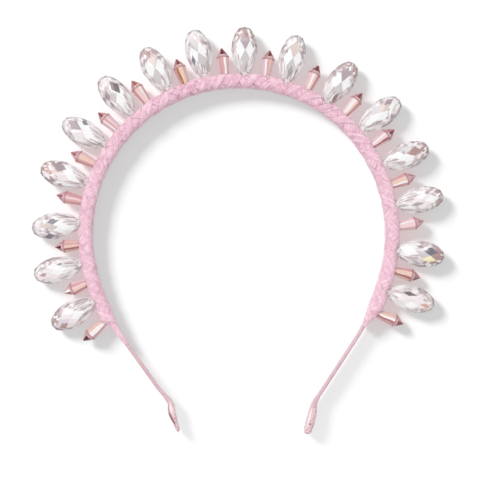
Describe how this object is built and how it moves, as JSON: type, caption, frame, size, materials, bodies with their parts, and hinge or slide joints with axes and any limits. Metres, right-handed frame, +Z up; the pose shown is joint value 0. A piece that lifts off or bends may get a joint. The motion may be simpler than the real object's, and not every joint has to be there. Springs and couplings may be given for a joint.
{
  "type": "tiara",
  "caption": "Spring headband tiara lying flat: a ribbon-wound arch crowned with clear faceted glass drops and short rose glass spikes, on slim ribbon-covered legs with folded tips.",
  "frame": {"origin": "bottom centre of the whole tiara's box, on the surface that it lies on", "axes": "the arch lies in the XY plane, its crown towards +Y and the open ends of its legs towards -Y; +X is to the right seen from the front; +Z is up, out of the front face"},
  "size_m": [0.1732, 0.1704, 0.0072],
  "materials": {
    "satin_ribbon": "satin",
    "matte_ribbon": "matte fibrous",
    "clear_glass": "polished",
    "rose_glass": "polished"
  },
  "bodies": {
    "root": {"band": "satin_ribbon", "wrap": "matte_ribbon", "drop_01": "clear_glass", "drop_02": "clear_glass", "drop_03": "clear_glass", "drop_04": "clear_glass", "drop_05": "clear_glass", "drop_06": "clear_glass", "drop_07": "clear_glass", "drop_08": "clear_glass", "drop_09": "clear_glass", "drop_10": "clear_glass", "drop_11": "clear_glass", "drop_12": "clear_glass", "drop_13": "clear_glass", "drop_14": "clear_glass", "drop_15": "clear_glass", "drop_16": "clear_glass", "spike_01": "rose_glass", "spike_02": "rose_glass", "spike_03": "rose_glass", "spike_04": "rose_glass", "spike_05": "rose_glass", "spike_06": "rose_glass", "spike_07": "rose_glass", "spike_08": "rose_glass", "spike_09": "rose_glass", "spike_10": "rose_glass", "spike_11": "rose_glass", "spike_12": "rose_glass", "spike_13": "rose_glass", "spike_14": "rose_glass", "spike_15": "rose_glass", "spike_16": "rose_glass", "spike_17": "rose_glass"}
  },
  "joints": []
}
